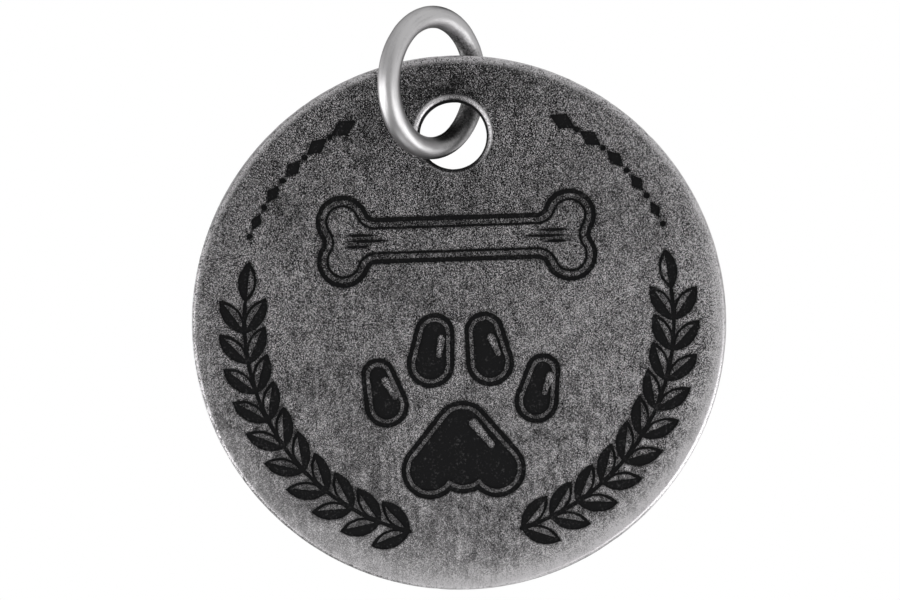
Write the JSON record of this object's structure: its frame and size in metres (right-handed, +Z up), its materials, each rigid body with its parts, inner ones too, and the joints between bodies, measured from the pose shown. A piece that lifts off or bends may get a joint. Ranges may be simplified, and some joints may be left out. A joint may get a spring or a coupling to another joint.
{
  "type": "pet id tag",
  "caption": "Round engraved metal pet tag with a punched hole, hanging in a round-wire jump ring that clips to a collar.",
  "frame": {"origin": "on the wire at the top of the jump ring's opening, where a collar's own ring would bear", "axes": "+Z up, the way the collar pulls; the disc hangs upright in the XZ plane with its engraved face towards -Y"},
  "size_m": [0.032, 0.0072, 0.0349],
  "materials": {
    "antique_silver": "antiqued and tumbled, dark engraved lines, bright worn edges",
    "satin_silver": "satin tumbled wire"
  },
  "bodies": {
    "ring": {"jump_ring": "satin_silver"},
    "tag": {"tag_disc": "antique_silver"}
  },
  "joints": [
    {"name": "tag_swivel", "type": "hinge", "parent": "ring", "child": "tag", "pos_m": [0.00106, 0.00124, -0.00643], "axis": [0, 0, -1], "range_deg": [0, 80]}
  ]
}
